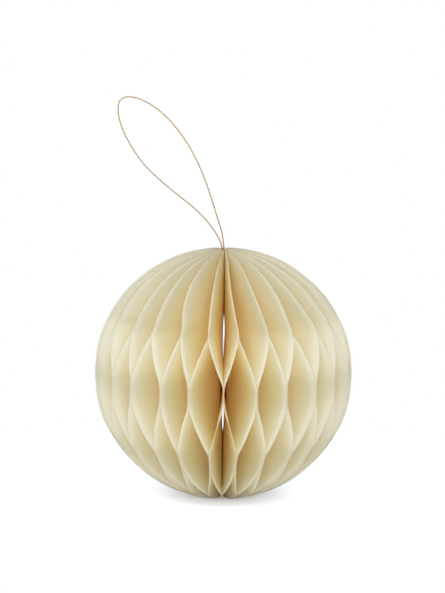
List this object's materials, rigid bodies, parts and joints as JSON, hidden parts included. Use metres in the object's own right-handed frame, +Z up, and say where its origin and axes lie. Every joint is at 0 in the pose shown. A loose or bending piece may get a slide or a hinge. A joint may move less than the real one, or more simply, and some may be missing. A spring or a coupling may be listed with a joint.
{
  "type": "honeycomb paper ball ornament",
  "caption": "Round hanging ornament of half-disc paper leaves, glued in a honeycomb and fanned round a bound spine, with metallic cut edges and a twisted gold cord loop.",
  "frame": {"origin": "middle of the ball, half way up its spine", "axes": "+Z up the spine towards the hanging cord; -Y is the front, where one column of cells lies face on; +X is to the right"},
  "size_m": [0.1, 0.1, 0.1569],
  "materials": {
    "paper": "matte",
    "binding_thread": "matte",
    "gold_cord": "metallic"
  },
  "bodies": {
    "root": {"leaf_01": "paper", "leaf_02": "paper", "leaf_03": "paper", "leaf_04": "paper", "leaf_05": "paper", "leaf_06": "paper", "leaf_07": "paper", "leaf_08": "paper", "leaf_09": "paper", "leaf_10": "paper", "leaf_11": "paper", "leaf_12": "paper", "leaf_13": "paper", "leaf_14": "paper", "leaf_15": "paper", "leaf_16": "paper", "leaf_17": "paper", "leaf_18": "paper", "leaf_19": "paper", "leaf_20": "paper", "leaf_21": "paper", "leaf_22": "paper", "leaf_23": "paper", "leaf_24": "paper", "leaf_25": "paper", "leaf_26": "paper", "leaf_27": "paper", "leaf_28": "paper", "leaf_29": "paper", "leaf_30": "paper", "leaf_31": "paper", "leaf_32": "paper", "leaf_33": "paper", "leaf_34": "paper", "leaf_35": "paper", "leaf_36": "paper", "leaf_37": "paper", "leaf_38": "paper", "leaf_39": "paper", "leaf_40": "paper", "leaf_41": "paper", "leaf_42": "paper", "leaf_43": "paper", "leaf_44": "paper", "leaf_45": "paper", "leaf_46": "paper", "leaf_47": "paper", "leaf_48": "paper", "upper_spine_thread": "binding_thread", "lower_spine_thread": "binding_thread", "hanging_cord": "gold_cord", "cord_knot": "gold_cord"}
  },
  "joints": []
}
